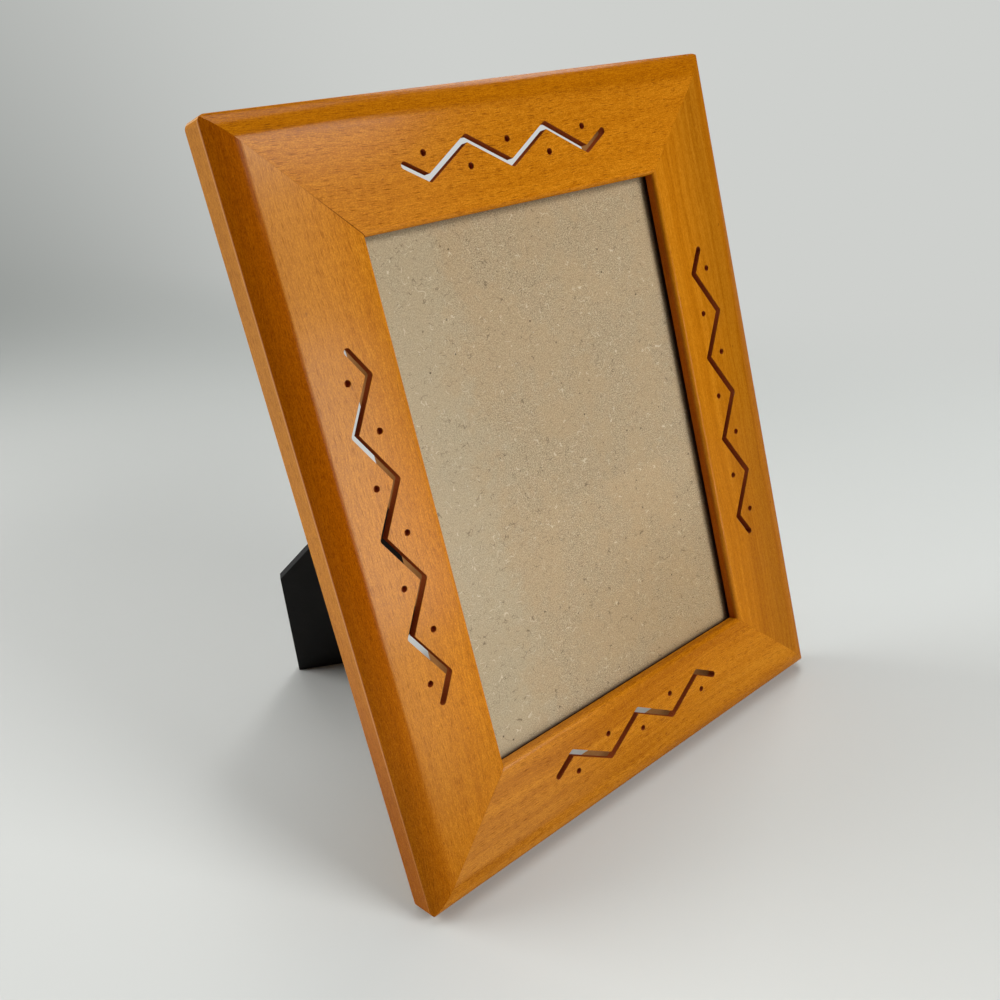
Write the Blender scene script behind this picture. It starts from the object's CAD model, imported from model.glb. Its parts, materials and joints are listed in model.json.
"""A beech picture frame with sawn zigzag fretwork, standing on its black folding strut."""

import json
import math
from collections import namedtuple

import bmesh
import bpy
import numpy as np
from mathutils import Matrix, Vector


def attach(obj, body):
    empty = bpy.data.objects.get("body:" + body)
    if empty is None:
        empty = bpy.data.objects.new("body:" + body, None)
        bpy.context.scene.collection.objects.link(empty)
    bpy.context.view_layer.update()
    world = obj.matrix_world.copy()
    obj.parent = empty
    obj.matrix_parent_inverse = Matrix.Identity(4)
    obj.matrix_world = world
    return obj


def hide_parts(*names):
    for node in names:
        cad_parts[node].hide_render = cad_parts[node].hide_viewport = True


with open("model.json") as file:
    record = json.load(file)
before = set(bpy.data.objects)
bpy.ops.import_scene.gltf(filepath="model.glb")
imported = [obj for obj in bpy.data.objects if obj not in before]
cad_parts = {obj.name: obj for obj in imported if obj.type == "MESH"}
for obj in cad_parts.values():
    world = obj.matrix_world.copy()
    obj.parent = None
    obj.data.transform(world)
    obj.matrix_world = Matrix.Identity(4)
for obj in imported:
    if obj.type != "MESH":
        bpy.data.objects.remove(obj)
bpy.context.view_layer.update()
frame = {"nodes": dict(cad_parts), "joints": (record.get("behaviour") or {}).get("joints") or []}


# ---- The four rails -------------------------------------------------------------------------
# Steamed beech, moulded with a rounded crown along the outer edge, mitred and nailed at the
# corners. The zigzag is sawn and the dots drilled, both scorched dark, then the frame is lacquered.

# The frame leans back. Its own plane starts at the middle of its back's lower edge, on the table.
LEAN = math.radians(18)
BACK_EDGE = Vector((0, -0.0631264, 0))
LEFT_RIGHT = Vector((1, 0, 0))
UP_FRAME = Vector((0, math.sin(LEAN), math.cos(LEAN)))
TO_VIEWER = Vector((0, -math.cos(LEAN), math.sin(LEAN)))

OPENING = (0.120, 0.170)
SIDE_RAIL, TOP_RAIL, BOTTOM_RAIL = 0.0378, 0.0384, 0.0355
# heights above the back: the face, the arris over the flat outer side, and the rabbet's lip
FACE, ARRIS, LIP = 0.013, 0.0088, 0.0088
# the pocket milled behind a zigzag: the wood left over it, half its width, its reach past the ends
SKIN, POCKET_HALF, POCKET_PAST = 0.003, 0.0095, 0.0027
MM = 1000

# A rail's own frame is the middle of its edge at the opening, the way along it and the way out from
# the opening. Its zigzag runs half_run to each side, its middle line lies inset from the opening, and
# it is shifted along the rail. The rail is mitred to rails of two widths, at its start and its end.
Rail = namedtuple("Rail", "middle along out width half_run inset shift bends mitred_to plank")

# A plank is its place in the grain noise (seed), its shade at the opening and at the outer edge, the
# strength of its growth rings (figure, and lines for the narrow ones), of its fibres (fine) and of
# its flecks, and how dark its joints are at the rail's start and end. This is what most planks have
# in common; places are in millimetres.
EVEN = {
    "middle": 1,                 # how much lighter its upper middle is
    "bloom": (0, 0, 1, 0, 1),    # haze in the lacquer, and between which places along and out it comes
    "crown": (1, 1, 1),          # tint of the crown
    "crown_edge": (10.2, 6.4),   # where that tint starts and where it is full, from the outer edge
    "crown_low": 1,              # how much of that tint the rail's start has
    "side_low": (1, 1, 1),       # tint of the outer side at the rail's start
    "arris": (0.45, 0.45),       # how far the lacquer is rubbed off the arris, at the start and beyond
    "gloss": 0.2,                # coat on the crown
    "sight": (1, 1, 1),          # tint of the wall at the opening
}
RAILS = {
    "top": Rail(
        middle=(0, BOTTOM_RAIL + OPENING[1]), along=LEFT_RIGHT, out=UP_FRAME, width=TOP_RAIL,
        half_run=0.0404, inset=0.0170, shift=-0.0011, bends=5, mitred_to=(SIDE_RAIL, SIDE_RAIL),
        plank=EVEN | {
            "seed": (30, 7, 11), "shade": (1.09, 1.04), "figure": 0.12, "lines": 0.08, "fine": 1.2,
            "flecks": 0.75, "joints": (0.8, 0.12), "bloom": (0.07, 0, -70, -30, -20),
            "crown": (0.8, 0.74, 0.3), "arris": (0.25, 0.15)}),
    "bottom": Rail(
        middle=(0, BOTTOM_RAIL), along=-LEFT_RIGHT, out=-UP_FRAME, width=BOTTOM_RAIL,
        half_run=0.0404, inset=0.0147, shift=0, bends=5, mitred_to=(SIDE_RAIL, SIDE_RAIL),
        plank=EVEN | {
            "seed": (310, 5, 2), "shade": (1.06, 0.92), "figure": 0.55, "lines": 0.2, "fine": 1.35,
            "flecks": 0.7, "joints": (0.12, 0.3), "bloom": (0.12, 5, 65, -30, -20)}),
    "left": Rail(
        middle=(-OPENING[0] / 2, BOTTOM_RAIL + OPENING[1] / 2), along=UP_FRAME, out=-LEFT_RIGHT,
        width=SIDE_RAIL, half_run=0.0548, inset=0.0156, shift=0.0008, bends=7,
        mitred_to=(BOTTOM_RAIL, TOP_RAIL),
        plank=EVEN | {
            "seed": (570, 21, 8), "shade": (1.1, 1.0), "figure": 0.2, "lines": 0.12, "fine": 1.1,
            "flecks": 0.5, "joints": (0.2, 0.8), "middle": 1.15, "bloom": (0.19, -110, -50, -5, 27),
            "crown": (0.64, 0.45, 0.1), "crown_edge": (9.1, 7.7), "crown_low": 0.6,
            "side_low": (0.8, 0.66, 0.6), "arris": (0.1, 0.45), "gloss": 0.08}),
    "right": Rail(
        middle=(OPENING[0] / 2, BOTTOM_RAIL + OPENING[1] / 2), along=-UP_FRAME, out=LEFT_RIGHT,
        width=SIDE_RAIL, half_run=0.0548, inset=0.0156, shift=-0.0008, bends=7,
        mitred_to=(TOP_RAIL, BOTTOM_RAIL),
        plank=EVEN | {
            "seed": (830, 44, 19), "shade": (1.04, 0.78), "figure": 0.25, "lines": 0.36, "fine": 0.7,
            "flecks": 0.2, "joints": (0.12, 0.12), "crown": (1, 0.95, 0.76), "gloss": 0.17,
            "sight": (0.95, 0.6, 0.25)}),
}


def on_frame(across, up, out):
    """A point given in the frame's own plane: metres to the right of its middle, up from its bottom
    edge and out from its back."""
    return BACK_EDGE + LEFT_RIGHT * across + UP_FRAME * up + TO_VIEWER * out


def half_length(rail):
    """Half the length of a rail's edge at the opening."""
    return OPENING[0] / 2 if rail.along.x else OPENING[1] / 2


class Sock:
    """A shader socket that takes part in Python sums; each operator adds one Math node."""

    def __init__(self, shader, socket):
        self.shader, self.socket = shader, socket

    def _math(self, operation, *values):
        return self.shader.node("ShaderNodeMath", {"operation": operation}, dict(enumerate(values)))

    def __add__(self, other): return self._math("ADD", self, other)
    def __radd__(self, other): return self._math("ADD", other, self)
    def __sub__(self, other): return self._math("SUBTRACT", self, other)
    def __rsub__(self, other): return self._math("SUBTRACT", other, self)
    def __mul__(self, other): return self._math("MULTIPLY", self, other)
    def __rmul__(self, other): return self._math("MULTIPLY", other, self)
    def __truediv__(self, other): return self._math("DIVIDE", self, other)
    def __rtruediv__(self, other): return self._math("DIVIDE", other, self)
    def __pow__(self, other): return self._math("POWER", self, other)
    def __rpow__(self, other): return self._math("POWER", other, self)
    def __abs__(self): return self._math("ABSOLUTE", self)
    def most(self, other): return self._math("MAXIMUM", self, other)

    def rise(self, low, high, to_low=0.0, to_high=1.0):
        """Goes smoothly from to_low where this is low to to_high where it is high."""
        return self.shader.node(
            "ShaderNodeMapRange", {"interpolation_type": "SMOOTHSTEP"},
            {"Value": self, "From Min": low, "From Max": high, "To Min": to_low, "To Max": to_high})

    def fall(self, low, high):
        """Goes smoothly from 1 where this is low to 0 where it is high."""
        return self.rise(low, high, 1, 0)


class Shader:
    """The nodes of one material, or of the world."""

    def __init__(self, owner):
        owner.use_nodes = True
        self.material, self.tree = owner, owner.node_tree

    def node(self, kind, settings=None, inputs=None, output=0):
        """Adds any node: its settings first, then the values or links of its sockets."""
        made = self.tree.nodes.new(kind)
        for key, value in (settings or {}).items():
            if key == "stops":
                ramp = made.color_ramp
                while len(ramp.elements) < len(value):
                    ramp.elements.new(0.5)
                for element, (place, colour) in zip(ramp.elements, value):
                    element.position, element.color = place, colour
            else:
                setattr(made, key, value)
        for key, value in (inputs or {}).items():
            self._feed(made.inputs[key], value)
        return Sock(self, made.outputs[output])

    def _feed(self, socket, value):
        if isinstance(value, Sock):
            self.tree.links.new(value.socket, socket)
        else:
            socket.default_value = value

    def set(self, socket, value):
        """Feeds one of the surface's sockets."""
        self._feed(self.tree.nodes["Principled BSDF"].inputs[socket], value)

    def show(self, shader, end="Material Output"):
        """Makes this shader the one that is seen."""
        self._feed(self.tree.nodes[end].inputs["Surface"], shader)

    def place(self, origin, axes):
        """Object coordinates in millimetres from origin, along the three given directions."""
        turn = Matrix(axes).transposed().to_euler("XYZ")
        point = self.node("ShaderNodeTexCoord", output="Object")
        return self.node("ShaderNodeMapping", {"vector_type": "TEXTURE"}, {
            "Vector": point, "Location": origin, "Rotation": turn, "Scale": (1 / MM,) * 3})

    def parts(self, vector):
        """The three parts of a vector."""
        split = self.node("ShaderNodeSeparateXYZ", inputs={0: vector})
        return [Sock(self, part) for part in split.socket.node.outputs]

    def vector(self, x, y, z):
        """The vector with these three parts."""
        return self.node("ShaderNodeCombineXYZ", inputs={0: x, 1: y, 2: z})

    def noise(self, vector, scale=1.0, detail=2, roughness=0.5):
        """Cloudy noise from 0 to 1, about 0.5."""
        return self.node("ShaderNodeTexNoise", {"noise_dimensions": "3D"}, {
            "Vector": vector, "Scale": scale, "Detail": detail, "Roughness": roughness})

    def cells(self, vector, scale=1.0, output="Distance"):
        """Distance to the nearest of scattered points, or that cell's own random colour."""
        return self.node("ShaderNodeTexVoronoi", {"voronoi_dimensions": "3D"},
                         {"Vector": vector, "Scale": scale}, output=output)

    def scattered(self, vector, size, picked):
        """Marks at scattered points: full within the first size and gone at the second, and only in
        the cells whose own random number is past picked."""
        lot = self.parts(self.cells(vector, output="Color"))[0]
        return self.cells(vector).fall(*size) * lot.rise(*picked)

    def mix(self, amount, first, second, blend="MIX"):
        """Mixes two colours."""
        sockets = {"Factor": amount, 6: first, 7: second}
        return self.node("ShaderNodeMix", {"data_type": "RGBA", "blend_type": blend}, sockets, output=2)

    def tint(self, amount, colour, by):
        """Multiplies a colour by another, as far as amount goes."""
        return self.mix(amount, colour, self.mix(1.0, colour, (*by, 1), "MULTIPLY"))

    def bump(self, height, distance):
        """Feeds the surface's Normal from a height in the range 0 to 1, distance high in metres."""
        self.set("Normal", self.node("ShaderNodeBump", inputs={"Height": height, "Distance": distance}))


def new_material(name, **surface):
    """A material whose surface has the given constants, with _ for a space in a socket's name."""
    shader = Shader(bpy.data.materials.new(name))
    for socket, value in surface.items():
        shader.set(socket.replace("_", " "), value)
    return shader


def rgb(red, green, blue):
    """A colour as a screen shows it, 0 to 255 a part, in the linear values that sockets take."""
    parts = np.array([red, green, blue]) / 255
    linear = np.where(parts > 0.04045, ((parts + 0.055) / 1.055) ** 2.4, parts / 12.92)
    return (*[float(part) for part in linear], 1.0)


def joined_copy(node, cuts=()):
    """A copy of a CAD node's mesh with its triangles joined into flat faces. Faces with holes are cut
    along the planes in cuts, each a point and a direction."""
    flat = math.radians(0.3)
    one_point, one_point_cut, on_plane = 2e-6, 1e-5, 1e-6
    data = frame["nodes"][node].data.copy()
    data.materials.clear()
    shape = bmesh.new()
    shape.from_mesh(data)
    bmesh.ops.remove_doubles(shape, verts=shape.verts, dist=one_point)
    for point, way in cuts:
        everything = [*shape.verts, *shape.edges, *shape.faces]
        made = bmesh.ops.bisect_plane(shape, geom=everything, dist=on_plane, plane_co=point,
                                      plane_no=way)
        for part in made["geom_cut"]:
            if isinstance(part, bmesh.types.BMEdge):
                part.seam = True
    bmesh.ops.remove_doubles(shape, verts=shape.verts, dist=one_point_cut)
    bmesh.ops.dissolve_limit(shape, angle_limit=flat, verts=shape.verts, edges=shape.edges,
                             delimit={"SEAM"})
    shape.to_mesh(data)
    shape.free()
    data.shade_smooth()
    return data


def edge_shares(data, weight=None):
    """The share of the easing that each edge gets: none where the faces turn less than 30 degrees, and
    otherwise what weight says of an array of the edges' ends."""
    sharp_turn = math.radians(30)
    ends = np.empty(len(data.edges) * 2, int)
    data.edges.foreach_get("vertices", ends)
    spots = np.empty(len(data.vertices) * 3)
    data.vertices.foreach_get("co", spots)
    edge_ends = spots.reshape(-1, 3)[ends].reshape(-1, 2, 3)
    shape = bmesh.new()
    shape.from_mesh(data)
    sharp = np.array([len(edge.link_faces) == 2 and edge.calc_face_angle() > sharp_turn
                      for edge in shape.edges])
    shape.free()
    return (sharp * (1 if weight is None else weight(edge_ends))).astype(np.float32)


def finished_copy(node, name, body, edge=0.0002, segments=2, weight=None, cuts=()):
    """A copy of a CAD node with clean flat faces and its sharp edges eased by edge metres."""
    data = joined_copy(node, cuts)
    piece = bpy.data.objects.new(name, data)
    bpy.context.scene.collection.objects.link(piece)
    amounts = data.attributes.new("bevel_weight_edge", "FLOAT", "EDGE")
    amounts.data.foreach_set("value", edge_shares(data, weight))
    ease = piece.modifiers.new("eased edges", "BEVEL")
    ease.limit_method, ease.width, ease.segments = "WEIGHT", edge, segments
    ease.use_clamp_overlap, ease.miter_outer = True, "MITER_ARC"
    level = piece.modifiers.new("flat faces", "WEIGHTED_NORMAL")
    level.mode, level.weight, level.keep_sharp = "FACE_AREA", 65, True
    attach(piece, body)
    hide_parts(node)
    return piece


def beech(name, rail):
    """Beech under clear lacquer, in millimetres along a rail (x), out from the opening (y) and up from
    the back (z): stretched noise for the growth rings and fibres, stretched cells for the short dark
    flecks, a dark hairline in the mitres, bare wood in the rabbet, the pocket and the back, and
    scorched walls in the slot and the dots."""
    plank = rail.plank
    width, face, arris_at, lip = (size * MM for size in (rail.width, FACE, ARRIS, LIP))
    wood = new_material(name, Specular_IOR_Level=0.0, Coat_Roughness=0.16, Coat_IOR=1.45)
    x, y, z = wood.parts(wood.place(on_frame(*rail.middle, 0), (rail.along, rail.out, TO_VIEWER)))

    # the grain wanders a little along the rail
    sx, sy, sz = (part + seed for part, seed in zip((x, y, z), plank["seed"]))
    across = sy + (wood.noise(wood.vector(sx * 0.012, sy * 0.03, sz * 0.03)) - 0.5) * 12

    def grain(along, over, detail, roughness):
        """Noise with one frequency along the wandering grain and another over it."""
        return wood.noise(wood.vector(sx * along, across * over, sz * over), 1, detail, roughness)

    rings = grain(0.005, 0.15, 3, 0.5)
    lines = grain(0.006, 0.55, 2, 0.6)
    streaks = grain(0.07, 1.3, 3, 0.65)
    fibres = grain(0.45, 3.6, 2, 0.6)
    pores = wood.noise(wood.vector(sx * 1.7, sy * 3.2, sz * 3.2), detail=1, roughness=0.6)
    flecks = wood.scattered(wood.vector(sx * 0.22, across * 2.3, sz * 2.3), (0.08, 0.42), (0.1, 0.7))
    fine = ((streaks - 0.5) * 0.2 + (fibres - 0.5) * 0.38 + (pores - 0.5) * 0.46) * plank["fine"]
    tone = (rings - 0.5) * plank["figure"] + (lines - 0.5) * plank["lines"] + fine + 0.5
    stops = [(0.34, rgb(151, 85, 6)), (0.50, rgb(175, 105, 12)), (0.66, rgb(197, 126, 26))]
    colour = wood.node("ShaderNodeValToRGB", {"stops": stops}, {"Fac": tone})
    pin_knots = wood.cells(wood.vector(sx * 0.07, sy * 0.16, sz * 0.16))
    colour = wood.mix(pin_knots.rise(0.03, 0.055, 0.5, 0), colour, rgb(92, 40, 6))
    shade = y.rise(3, 28, *plank["shade"])
    if plank["middle"] != 1:
        shade = shade * (x.rise(-88, -50) * x.fall(-10, 60)).rise(0, 1, 1, plank["middle"])
    colour = wood.mix(1.0, colour, wood.vector(shade, shade, shade), "MULTIPLY")

    # the stain and the lacquer take up differently on the crown and on the wall at the opening
    crown_start, crown_full = (width - edge for edge in plank["crown_edge"])
    crown = y.rise(crown_start, crown_full)
    if plank["crown_low"] != 1:
        # towards its lower end the crown is sanded rounder, so its tint fades in over a wider strip
        further_up, wider = x.rise(-105, -20), y.rise(crown_start - 3, crown_full + 2.5)
        crown = wood.node("ShaderNodeMix", {"data_type": "FLOAT"}, {0: further_up, 2: wider, 3: crown})
    crown = crown * z.rise(arris_at - 0.2, arris_at + 0.2)
    most, along_from, along_to, out_from, out_to = plank["bloom"]
    bloom = x.rise(along_from, along_to, 0, most) * y.rise(out_from, out_to) * crown.rise(0, 1, 1, 0.1)
    colour = wood.mix(bloom, colour, rgb(212, 162, 106))
    colour = wood.tint(crown * x.rise(-110, 0, plank["crown_low"], 1), colour, plank["crown"])
    colour = wood.tint(y.fall(0.1, 1.0) * z.fall(face - 2.4, face - 0.5), colour, plank["sight"])
    colour = wood.mix(flecks * plank["flecks"], colour, rgb(108, 52, 4))
    outer_side = y.rise(width - 0.3, width - 0.1) * z.fall(arris_at - 0.5, arris_at - 0.1)
    colour = wood.tint(outer_side * x.fall(-70, 0), colour, plank["side_low"])
    # the lacquer is rubbed thin along the outer arris
    arris = y.rise(width - 0.5, width - 0.15) * abs(z - (arris_at - 0.1)).fall(0.15, 0.45)
    colour = wood.mix(arris * x.rise(-115, -40, *plank["arris"]), colour, rgb(226, 166, 112))

    # the hairline of the two mitres
    slope = x.rise(-1, 1, *(neighbour / rail.width for neighbour in rail.mitred_to))
    to_joint = half_length(rail) * MM + y * slope - abs(x)
    joint = to_joint.fall(0.12, 0.3) * y.rise(6, 17, 1, 0.15) * x.rise(-1, 1, *plank["joints"])
    colour = wood.mix(joint, colour, rgb(84, 34, 4))

    # bare wood: planed behind the lip and on the back, milled in the pocket
    bare = z.fall(lip - 0.15, lip - 0.02) * y.fall(width - 0.5, width - 0.4)
    pocket_top = face - SKIN * MM
    half, end = POCKET_HALF * MM, (rail.half_run + POCKET_PAST) * MM
    around = (abs(y - rail.inset * MM).fall(half - 0.1, half + 0.1)
              * abs(x - rail.shift * MM).fall(end - 0.1, end + 0.1))
    in_pocket = z.fall(pocket_top + 0.02, pocket_top + 0.1) * around
    planed = wood.mix(tone, rgb(190, 138, 88), rgb(222, 178, 128))
    milled = wood.mix(tone, rgb(132, 86, 44), rgb(178, 128, 78))
    colour = wood.mix(bare, colour, wood.mix(in_pocket, planed, milled))
    colour = wood.mix(in_pocket * (1 - bare), colour, milled)
    # scorched walls of the slot and the dots
    burnt = around * z.rise(pocket_top + 0.02, pocket_top + 0.1) * z.fall(face - 0.35, face - 0.05)
    colour = wood.mix(burnt, colour, wood.mix(fibres, rgb(118, 48, 20), rgb(182, 96, 48)))
    unlacquered = bare.most(in_pocket).most(burnt)

    wood.set("Base Color", colour)
    wood.set("Roughness", unlacquered * 0.3 + 0.45 + flecks * 0.12)
    wood.set("Coat Weight", (1 - unlacquered) * crown.rise(0, 1, 0.2, plank["gloss"]))
    wood.bump(fibres * 0.35 + streaks * 0.4 - flecks * 0.25, 0.00006)
    return wood.material


def rail_weights(rail):
    """How much of the easing each edge of a rail gets: hardly any along the mitres, so that the
    joints close to a hairline, and less on the back than on the face."""
    at_joint, at_back, elsewhere = 0.12, 0.7, 0.8
    joint_within, back_within = 0.0001, 0.0005

    def weight(ends):
        from_middle = ends - np.array(on_frame(*rail.middle, 0))
        x, y, z = (from_middle @ np.array(way) for way in (rail.along, rail.out, TO_VIEWER))
        joint = np.zeros(len(ends), bool)
        for sign, neighbour in zip((-1, 1), rail.mitred_to):
            past = sign * x - half_length(rail) - y * neighbour / rail.width
            joint |= np.all(np.abs(past) < joint_within, axis=1)
        back = np.all(z < back_within, axis=1)
        return np.where(joint, at_joint, np.where(back, at_back, elsewhere))
    return weight


for side, rail in RAILS.items():
    # cut across a little off the middle of each bend, through its dot, so that no face keeps a hole
    pitch, off_middle = rail.half_run * 2 / rail.bends, 0.0008
    spots = (pitch * (bend - rail.bends // 2) + rail.shift - off_middle for bend in range(rail.bends))
    cuts = [(on_frame(*rail.middle, 0) + rail.along * spot, rail.along) for spot in spots]
    piece = finished_copy(f"rail_{side}", f"beech_rail_{side}", "frame", edge=0.0003,
                          weight=rail_weights(rail), cuts=cuts)
    piece.data.materials.append(beech(f"beech_{side}", rail))


# ---- Glass ----------------------------------------------------------------------------------
# A pane of 2 mm float glass, cut straight and a little smaller than the rabbet. It lies against the
# rabbet's lip, and the boards behind it hold it there.

glass = new_material("float_glass")
pane = finished_copy("glass", "glass_pane", "frame", edge=0.0002, segments=1)
clear = glass.node("ShaderNodeBsdfTransparent", inputs={"Color": (0.985, 0.992, 0.988, 1)})
gloss = glass.node("ShaderNodeBsdfGlossy", inputs={"Roughness": 0.22})
sheen = glass.node("ShaderNodeFresnel", inputs={"IOR": 1.22})
glass.show(glass.node("ShaderNodeMixShader", inputs={0: sheen, 1: clear, 2: gloss}))
pane.data.materials.append(glass.material)


# ---- Grey board -----------------------------------------------------------------------------
# Uncoated board of waste paper, 3 mm thick: grey-brown pulp with fibres and with specks of print,
# wood and lint. It lies behind the glass and shows where the picture goes.

board = new_material("greyboard", Roughness=0.85, Specular_IOR_Level=0.2)
spot = board.place(on_frame(0, BOTTOM_RAIL, 0), (LEFT_RIGHT, UP_FRAME, TO_VIEWER))
x, y, z = board.parts(spot)
pulp = board.noise(spot, 2.2, detail=3, roughness=0.75)
felt = board.noise(board.vector(x, y + 500, z), 0.85, detail=2, roughness=0.7)
hue = board.noise(board.vector(x + 300, y, z), 0.35, detail=3, roughness=0.65)
blotches = board.noise(spot, 0.05, detail=4, roughness=0.65)
greyer = (x + blotches * 60 - 30).rise(-24, -42)
paper = board.mix(pulp.rise(0.3, 0.7), rgb(133, 113, 85), rgb(219, 198, 165))
paper = board.tint(felt.rise(0.32, 0.68, 0.3, 0), paper, (0.75, 0.73, 0.67))
paper = board.mix(hue.rise(0.4, 0.64) * 0.2, paper, rgb(190, 160, 128))
paper = board.mix(blotches.rise(0.42, 0.6) * 0.35, paper, rgb(190, 162, 124))
paper = board.mix(greyer * 0.4, paper, rgb(185, 171, 144))
specks = board.scattered(board.vector(x * 0.28, y * 0.28, z * 0.28), (0.06, 0.13), (0.8, 0.86))
grit = board.scattered(board.vector(x * 0.75, y * 0.75 + 40, z), (0.12, 0.3), (0.7, 0.8))
lint = board.scattered(board.vector(x * 0.6 + 9, y * 0.6, z), (0.08, 0.17), (0.86, 0.9))
for marks, colour in ((specks * 0.9, rgb(88, 72, 52)), (grit * 0.2, rgb(104, 92, 74)),
                      (lint * 0.75, rgb(214, 204, 182))):
    paper = board.mix(marks, paper, colour)
# hairs lie where a noise crosses its middle, in patches
DARK_HAIR, LIGHT_HAIR = rgb(106, 88, 66), rgb(226, 212, 184)
for scale, move, hair_colour in ((0.11, 70, DARK_HAIR), (0.17, 400, LIGHT_HAIR), (0.23, 150, DARK_HAIR),
                                 (0.26, 330, LIGHT_HAIR), (0.31, 260, DARK_HAIR)):
    hairs = board.noise(board.vector(x + move, y, z), scale, detail=1)
    patches = board.noise(board.vector(x, y + move, z), 0.3, detail=1).rise(0.59, 0.63)
    hair = abs(hairs - 0.5).fall(0.012 * scale, 0.055 * scale) * patches
    paper = board.mix(hair * 0.65, paper, hair_colour)
# light has yellowed it, and the rim under the lip is stained dark
yellowed = x.rise(-50, 45) * y.rise(90, 5) + y.rise(120, 180, 0, 0.35)
paper = board.tint(yellowed, paper, (0.88, 0.82, 0.72))
half_wide, half_high = (size / 2 * MM for size in OPENING)
rim = (abs(x) - half_wide).most(abs(y - half_high) - half_high)
board.set("Base Color", board.mix(rim.rise(-0.5, 1.3), paper, rgb(62, 36, 20)))
board.bump(pulp * 0.5 + blotches * 0.5 - specks * 0.3, 0.00012)
piece = finished_copy("insert_board", "grey_board", "frame", edge=0.0002, segments=1)
piece.data.materials.append(board.material)


# ---- Easel back and strut -------------------------------------------------------------------
# Hardboard with a matt black coating, its cut edges coated too. The strut is cut off along two
# lines, so that the frame stands upright or on its left side.

coated = new_material("black_coated_board", Specular_IOR_Level=0.22)
spot = coated.place(on_frame(0, BOTTOM_RAIL, 0), (LEFT_RIGHT, UP_FRAME, TO_VIEWER))
tooth = coated.noise(spot, 2.2, detail=3, roughness=0.65)
wear = coated.noise(spot, 0.06, detail=4, roughness=0.6)
coated.set("Base Color", coated.mix(wear.rise(0.4, 0.75), rgb(11, 10, 9), rgb(20, 18, 17)))
coated.set("Roughness", 0.55 + tooth * 0.25)
coated.bump(tooth, 0.00008)
for node, name, body in (("easel_back", "easel_back_board", "frame"),
                         ("strut", "strut_board", "strut")):
    piece = finished_copy(node, name, body, edge=0.0004)
    piece.data.materials.append(coated.material)


# ---- Hinge, turn buttons, corner nails and hanger strap --------------------------------------
# Zinc-plated steel: sheet pressed into leaves, buttons and a strap, cold-headed rivets and screws,
# and strip folded into the V-shaped nails that hold the mitres.

zinc = new_material("zinc_plated_steel", Metallic=1.0)
spot = zinc.place(on_frame(0, BOTTOM_RAIL, 0), (LEFT_RIGHT, UP_FRAME, TO_VIEWER))
flake = zinc.parts(zinc.cells(spot, 0.9, output="Color"))[0]
haze = zinc.noise(spot, 0.5, detail=4, roughness=0.65)
zinc.set("Base Color", zinc.mix(haze.rise(0.3, 0.75), rgb(196, 194, 188), rgb(164, 160, 150)))
zinc.set("Roughness", 0.24 + flake * 0.08 + haze * 0.16)
zinc.bump(haze * 0.6 + flake * 0.2, 0.00002)
STEEL = [
    ("corner_nails", "corner_nails_steel", "frame", 0.00008),
    ("hinge_leaf_back", "hinge_leaf_on_back", "frame", 0.00015),
    ("hinge_leaf_strut", "hinge_leaf_on_strut", "strut", 0.00015),
    ("hinge_pin", "hinge_pin_steel", "frame", 0.0001),
    ("hinge_rivets_back", "rivets_in_back", "frame", 0.00012),
    ("hinge_rivets_strut", "rivets_in_strut", "strut", 0.00012),
    ("turn_button_screws", "cross_head_screws", "frame", 0.0001),
    ("hanger_strap", "hanger_strap_steel", "frame", 0.00015),
    ("hanger_rivet", "hanger_rivet_steel", "frame", 0.00012),
]
for turn in ("top_left", "top_right", "bottom_left", "bottom_right", "left", "right"):
    STEEL.append((f"turn_button_{turn}", f"turn_button_steel_{turn}", f"turn_button_{turn}", 0.0002))
for node, name, body, edge in STEEL:
    piece = finished_copy(node, name, body, edge=edge)
    piece.data.materials.append(zinc.material)


# ---- Hanger ring ----------------------------------------------------------------------------
# Steel wire bent into a triangle, its ends butted on the straight side that the strap wraps. It
# turns there, and hangs straight down.

RING_WIRE = 0.0009
RING_WIDE, RING_HIGH = 0.018, 0.017
RING_BEND = 0.0016


def rounded_loop(corners, bend, steps=10):
    """A closed path through corners, each rounded by an arc of radius bend: the arc's middle lies on
    the corner's bisector, and its points run evenly from one side's tangent point to the next."""
    path = []
    for i, corner in enumerate(corners):
        before, after = corners[i - 1] - corner, corners[(i + 1) % len(corners)] - corner
        before, after = before / np.linalg.norm(before), after / np.linalg.norm(after)
        half = math.acos(before @ after) / 2
        bisector = (before + after) / np.linalg.norm(before + after)
        middle = corner + bisector * bend / math.sin(half)
        start, end = (corner + way * bend / math.tan(half) - middle for way in (before, after))
        turn = np.linspace(0, 1, steps)[:, None]
        sweep = math.pi - 2 * half
        arc = (start * np.sin((1 - turn) * sweep) + end * np.sin(turn * sweep)) / math.sin(sweep)
        path.append(middle + arc)
    return np.concatenate(path)


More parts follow.
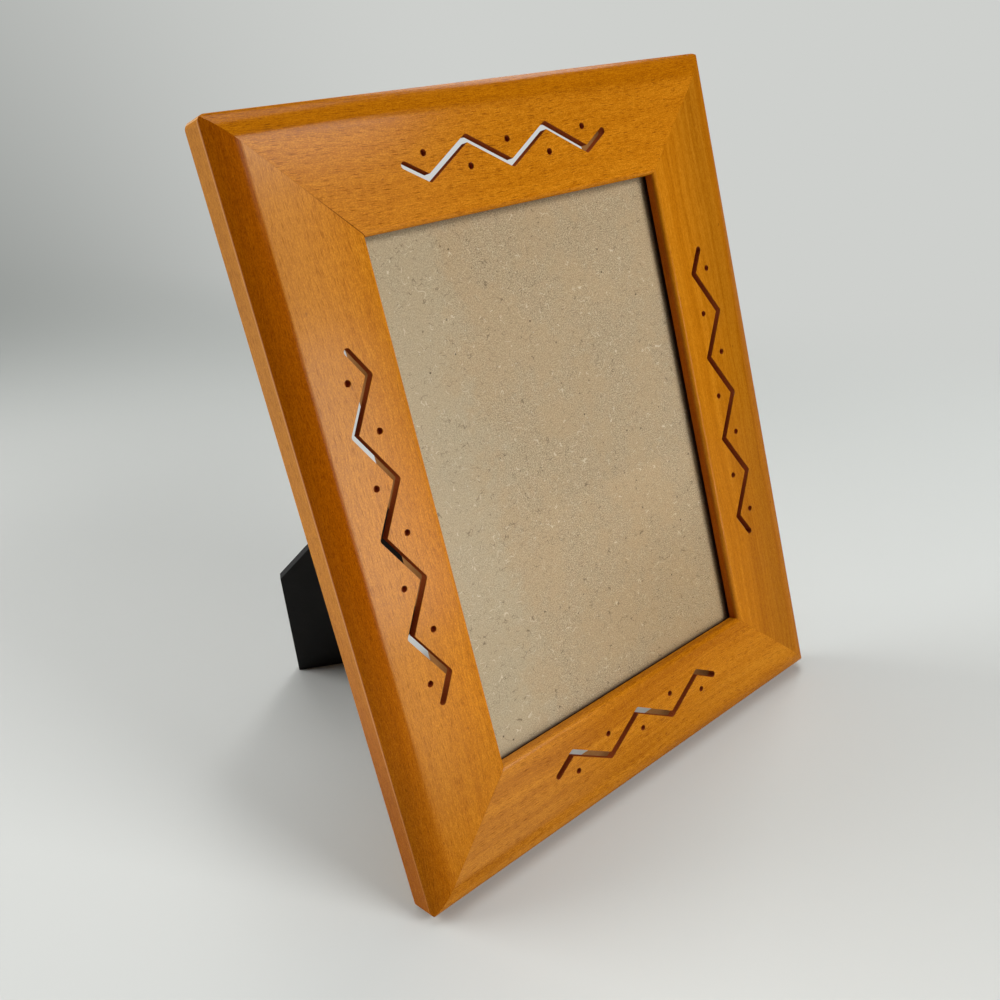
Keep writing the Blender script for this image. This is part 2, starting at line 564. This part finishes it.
def wire_loop(name, path, across, radius, sides=20):
    """A closed tube: at each point of a flat path, a circle in the plane of the path's own side
    direction and the direction across."""
    ahead = np.roll(path, -1, axis=0) - np.roll(path, 1, axis=0)
    ahead /= np.linalg.norm(ahead, axis=1)[:, None]
    side = np.cross(ahead, across)
    angle = np.linspace(0, 2 * math.pi, sides, endpoint=False)[None, :, None]
    spots = path[:, None] + radius * (np.cos(angle) * side[:, None] + np.sin(angle) * np.array(across))
    i, j = np.meshgrid(np.arange(len(path)), np.arange(sides), indexing="ij")
    ni, nj = (i + 1) % len(path), (j + 1) % sides
    quads = np.stack([i * sides + j, i * sides + nj, ni * sides + nj, ni * sides + j], axis=-1)
    data = bpy.data.meshes.new(name)
    data.from_pydata(spots.reshape(-1, 3).tolist(), [], quads.reshape(-1, 4).tolist())
    shape = bmesh.new()
    shape.from_mesh(data)
    bmesh.ops.recalc_face_normals(shape, faces=shape.faces)
    shape.to_mesh(data)
    shape.free()
    data.shade_smooth()
    made = bpy.data.objects.new(name, data)
    bpy.context.scene.collection.objects.link(made)
    return made


bar = np.array(next(joint["pos_m"] for joint in frame["joints"] if joint["name"] == "hanger_swing"))
corners = bar + np.array([(-RING_WIDE / 2, 0, 0), (RING_WIDE / 2, 0, 0), (0, 0, -RING_HIGH)])
ring = wire_loop("hanger_ring_wire", rounded_loop(corners, RING_BEND), (0, 1, 0), RING_WIRE)
ring.data.materials.append(zinc.material)
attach(ring, "hanger_ring")
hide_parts("hanger_ring")


# ---- Table, light and camera ----------------------------------------------------------------
# A pale matt table that runs off into the haze of a pale room. Two window-like lamps stand in front
# of the frame, one hangs over it and two fill in from behind. The camera is where the photograph's was.

TABLE_REACH = 20
# a way over the table, from the front left to the far right, and how far along it the haze begins
AHEAD_EAST, AHEAD_NORTH = 0.867, 0.5
HAZE_FROM = 0.394


def room_haze(shader, east, north):
    """The colour of the room in the distance: pale all round, but darker in a wide band round north."""
    away = (east * east + north * north) ** 0.5
    bearing = east / away
    dark = bearing.fall(-0.15, 0.65) * bearing.rise(-0.8, -0.3) * (north / away).rise(0, 0.4)
    return shader.mix(dark, rgb(206, 208, 205), rgb(144, 147, 144))


def soft_box(name, place, size, watts):
    """An area lamp of the given width and height, facing the middle of the frame."""
    lamp = bpy.data.lights.new(name, "AREA")
    lamp.shape, lamp.size, lamp.size_y, lamp.energy = "RECTANGLE", *size, watts
    made = bpy.data.objects.new(name, lamp)
    made.location = place
    made.rotation_euler = (Vector((0, 0, 0.1)) - Vector(place)).to_track_quat("-Z", "Y").to_euler()
    bpy.context.scene.collection.objects.link(made)


floor_data = bpy.data.meshes.new("table_top")
table_corners = [(TABLE_REACH * east, TABLE_REACH * north, 0)
                 for east, north in ((-1, -1), (1, -1), (1, 1), (-1, 1))]
floor_data.from_pydata(table_corners, [], [(0, 1, 2, 3)])
floor = bpy.data.objects.new("table_top", floor_data)
bpy.context.scene.collection.objects.link(floor)
pale = new_material("pale_table", Roughness=0.7, Specular_IOR_Level=0.2)
east, north, _ = pale.parts(pale.node("ShaderNodeTexCoord", output="Object"))
beyond = east * AHEAD_EAST + north * AHEAD_NORTH - HAZE_FROM
to_right = (east * AHEAD_NORTH - north * AHEAD_EAST).rise(-0.7, 0.5)
far = beyond.rise(-0.5, 0.0)
tone_left = pale.mix(far, rgb(196, 198, 195), rgb(154, 157, 154))
tone_right = pale.mix(far, rgb(202, 204, 201), rgb(200, 203, 200))
pale.set("Base Color", pale.mix(to_right, tone_left, tone_right))
# what the camera, a reflection or the glass shows of the distant table fades into the haze
rays = pale.node("ShaderNodeLightPath").socket.node.outputs
by_camera, by_gloss, by_glass = (
    Sock(pale, rays[ray]) for ray in ("Is Camera Ray", "Is Glossy Ray", "Is Transmission Ray"))
seen = by_camera.most(by_gloss).most(by_glass)
away = (east * east + north * north) ** 0.5
haze = pale.node("ShaderNodeEmission", inputs={"Color": room_haze(pale, east, north), "Strength": seen})
fade = beyond.rise(-0.10, 0.14).most(away.rise(0.38, 0.85) * seen)
table = Sock(pale, pale.tree.nodes["Principled BSDF"].outputs[0])
pale.show(pale.node("ShaderNodeMixShader", inputs={0: fade, 1: table, 2: haze}))
floor_data.materials.append(pale.material)

soft_box("far_window", (0.45, -1.39, 0.25), (0.46, 0.55), 7.5)
soft_box("near_window", (0.50, -1.20, 1.04), (0.75, 0.5), 13.8)
soft_box("ceiling", (0.16, 0.25, 1.9), (1.3, 1.3), 17)
soft_box("back_window", (1.10, 0.64, 1.37), (0.5, 0.4), 6)
soft_box("back_fill", (-1.1, 1.05, 0.7), (1.0, 1.0), 24)

# the camera sees the same haze behind the table, and everything else a weak even light
bpy.context.scene.world = bpy.data.worlds.new("room")
room = Shader(bpy.context.scene.world)
even_light = room.tree.nodes["Background"]
even_light.inputs["Color"].default_value = (0.95, 0.97, 0.96, 1)
even_light.inputs["Strength"].default_value = 0.04
east, north, _ = room.parts(room.node("ShaderNodeTexCoord", output="Generated"))
wall = room.node("ShaderNodeBackground", inputs={"Color": room_haze(room, east, north)})
by_camera = room.node("ShaderNodeLightPath", output="Is Camera Ray")
sights = {0: by_camera, 1: Sock(room, even_light.outputs[0]), 2: wall}
room.show(room.node("ShaderNodeMixShader", inputs=sights), "World Output")

# the camera's place and its three directions, given in the frame's own plane
CAMERA_AT = on_frame(-0.21333, BOTTOM_RAIL + 0.15941, 0.26358)
CAMERA_AXES = ((0.76103, -0.23097, 0.60621), (0.32976, 0.94247, -0.05489), (-0.55866, 0.24167, 0.79341))
camera = bpy.data.objects.new("camera", bpy.data.cameras.new("camera"))
bpy.context.scene.collection.objects.link(camera)
camera.data.lens = camera.data.sensor_width = 36
camera.data.clip_start, camera.data.clip_end = 0.01, 30
axes = [LEFT_RIGHT * across + UP_FRAME * up + TO_VIEWER * out for across, up, out in CAMERA_AXES]
camera.matrix_world = Matrix.Translation(CAMERA_AT) @ Matrix(axes).transposed().to_4x4()
bpy.context.scene.camera = camera
bpy.context.scene.view_settings.view_transform = "Standard"
